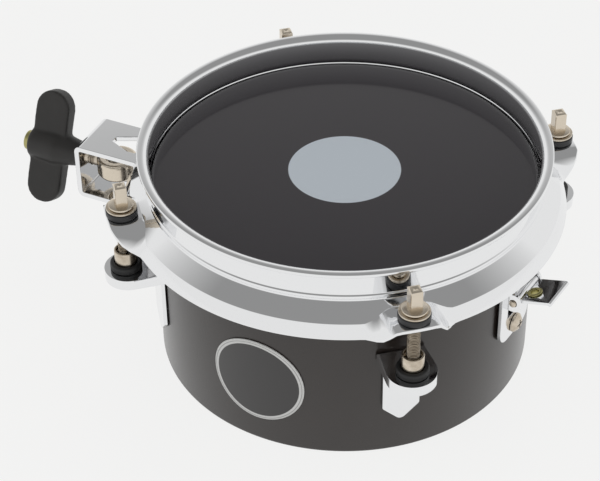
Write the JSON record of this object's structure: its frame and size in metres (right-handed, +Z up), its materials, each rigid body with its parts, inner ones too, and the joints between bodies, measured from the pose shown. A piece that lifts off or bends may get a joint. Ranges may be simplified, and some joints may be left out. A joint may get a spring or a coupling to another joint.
{
  "type": "snare timbale",
  "caption": "Small single-headed steel timbale with snares inside, a snare lever on its side and a folded rod clamp.",
  "frame": {"origin": "centre of the head's playing face, on the drum's axis", "axes": "+Z up out of the head along the drum's axis, +X towards the snare strainer's side"},
  "size_m": [0.3305, 0.236, 0.1258],
  "materials": {
    "powder_coat": "satin black powder coat",
    "head_film": "glossy black film",
    "hoop": "plain",
    "chrome": "polished plating",
    "nickel": "warm nickel plating",
    "steel": "zinc plated",
    "brass": "dull",
    "nylon": "black",
    "rubber": "black",
    "black_plastic": "matte black",
    "badge": "light grey, bare"
  },
  "bodies": {
    "drum": {"shell": "powder_coat", "head_film": "head_film", "flesh_hoop": "hoop", "rim": "chrome", "badge": "badge", "mounting_bracket": "chrome", "bracket_screw_1": "steel", "bracket_screw_2": "steel", "strainer_plate": "chrome", "strainer_screw": "nickel", "strainer_nut": "steel", "strainer_rivet": "nickel", "lever_pin": "nickel", "butt_bracket": "steel", "butt_pin": "nickel", "butt_screw": "nickel", "butt_nut": "steel", "sleeve_nut_1": "nickel", "grommet_1": "rubber", "lug_bracket_1": "chrome", "lug_nut_1_1": "steel", "lug_nut_1_2": "steel", "sleeve_nut_2": "nickel", "grommet_2": "rubber", "lug_bracket_2": "chrome", "lug_nut_2_1": "steel", "lug_nut_2_2": "steel", "sleeve_nut_3": "nickel", "grommet_3": "rubber", "lug_bracket_3": "chrome", "lug_nut_3_1": "steel", "lug_nut_3_2": "steel", "sleeve_nut_4": "nickel", "grommet_4": "rubber", "lug_bracket_4": "chrome", "lug_nut_4_1": "steel", "lug_nut_4_2": "steel"},
    "wing": {"wing_nut": "black_plastic", "wing_nut_insert": "brass"},
    "eye": {"eye_bolt": "nickel"},
    "lever": {"snare_lever": "chrome", "lever_eyelet": "brass"},
    "carrier": {"snare_carrier": "steel", "snare_wires": "steel", "snare_screw_1": "nickel", "snare_screw_2": "nickel"},
    "washers_1": {"steel_washer_1": "nickel", "nylon_washer_1": "nylon"},
    "rod_1": {"tension_rod_1": "nickel"},
    "washers_2": {"steel_washer_2": "nickel", "nylon_washer_2": "nylon"},
    "rod_2": {"tension_rod_2": "nickel"},
    "washers_3": {"steel_washer_3": "nickel", "nylon_washer_3": "nylon"},
    "rod_3": {"tension_rod_3": "nickel"},
    "washers_4": {"steel_washer_4": "nickel", "nylon_washer_4": "nylon"},
    "rod_4": {"tension_rod_4": "nickel"}
  },
  "joints": [
    {"name": "rod_rise_1", "type": "slide", "parent": "drum", "child": "washers_1", "axis": [0, 0, 1], "range_m": [0, 0.003]},
    {"name": "rod_turn_1", "type": "hinge", "parent": "washers_1", "child": "rod_1", "pos_m": [0.08485, 0.08485, 0], "axis": [0, 0, 1], "range_deg": [0, 1081]},
    {"name": "rod_rise_2", "type": "slide", "parent": "drum", "child": "washers_2", "axis": [0, 0, 1], "range_m": [0, 0.003]},
    {"name": "rod_turn_2", "type": "hinge", "parent": "washers_2", "child": "rod_2", "pos_m": [-0.08485, 0.08485, 0], "axis": [0, 0, 1], "range_deg": [0, 1081]},
    {"name": "rod_rise_3", "type": "slide", "parent": "drum", "child": "washers_3", "axis": [0, 0, 1], "range_m": [0, 0.003]},
    {"name": "rod_turn_3", "type": "hinge", "parent": "washers_3", "child": "rod_3", "pos_m": [-0.08485, -0.08485, 0], "axis": [0, 0, 1], "range_deg": [0, 1081]},
    {"name": "rod_rise_4", "type": "slide", "parent": "drum", "child": "washers_4", "axis": [0, 0, 1], "range_m": [0, 0.003]},
    {"name": "rod_turn_4", "type": "hinge", "parent": "washers_4", "child": "rod_4", "pos_m": [0.08485, -0.08485, 0], "axis": [0, 0, 1], "range_deg": [0, 1081]},
    {"name": "wing_nut_turn", "type": "hinge", "parent": "drum", "child": "wing", "pos_m": [-0.15834, -0.0133, -0.0385], "axis": [-0.9965, -0.0837, 0], "range_deg": [0, 1441]},
    {"name": "eye_bolt_slide", "type": "slide", "parent": "drum", "child": "eye", "axis": [0.9965, 0.0837, 0], "range_m": [0, 0.005]},
    {"name": "snare_lever_turn", "type": "hinge", "parent": "drum", "child": "lever", "pos_m": [0.10792, -0.00415, -0.0369], "axis": [0.0384, 0.9993, 0], "range_deg": [0, 28]},
    {"name": "snare_carrier_swing", "type": "hinge", "parent": "drum", "child": "carrier", "pos_m": [-0.09103, 0.0035, -0.0047], "axis": [-0.0384, -0.9993, 0], "range_deg": [0, 2.01]}
  ],
  "couplings": [
    {"joint": "rod_turn_1", "follows": "rod_rise_1", "rad_per_m": 6283.2},
    {"joint": "rod_turn_2", "follows": "rod_rise_2", "rad_per_m": 6283.2},
    {"joint": "rod_turn_3", "follows": "rod_rise_3", "rad_per_m": 6283.2},
    {"joint": "rod_turn_4", "follows": "rod_rise_4", "rad_per_m": 6283.2},
    {"joint": "wing_nut_turn", "follows": "eye_bolt_slide", "rad_per_m": 5026.5},
    {"joint": "snare_carrier_swing", "follows": "snare_lever_turn", "ratio": 0.071564}
  ]
}
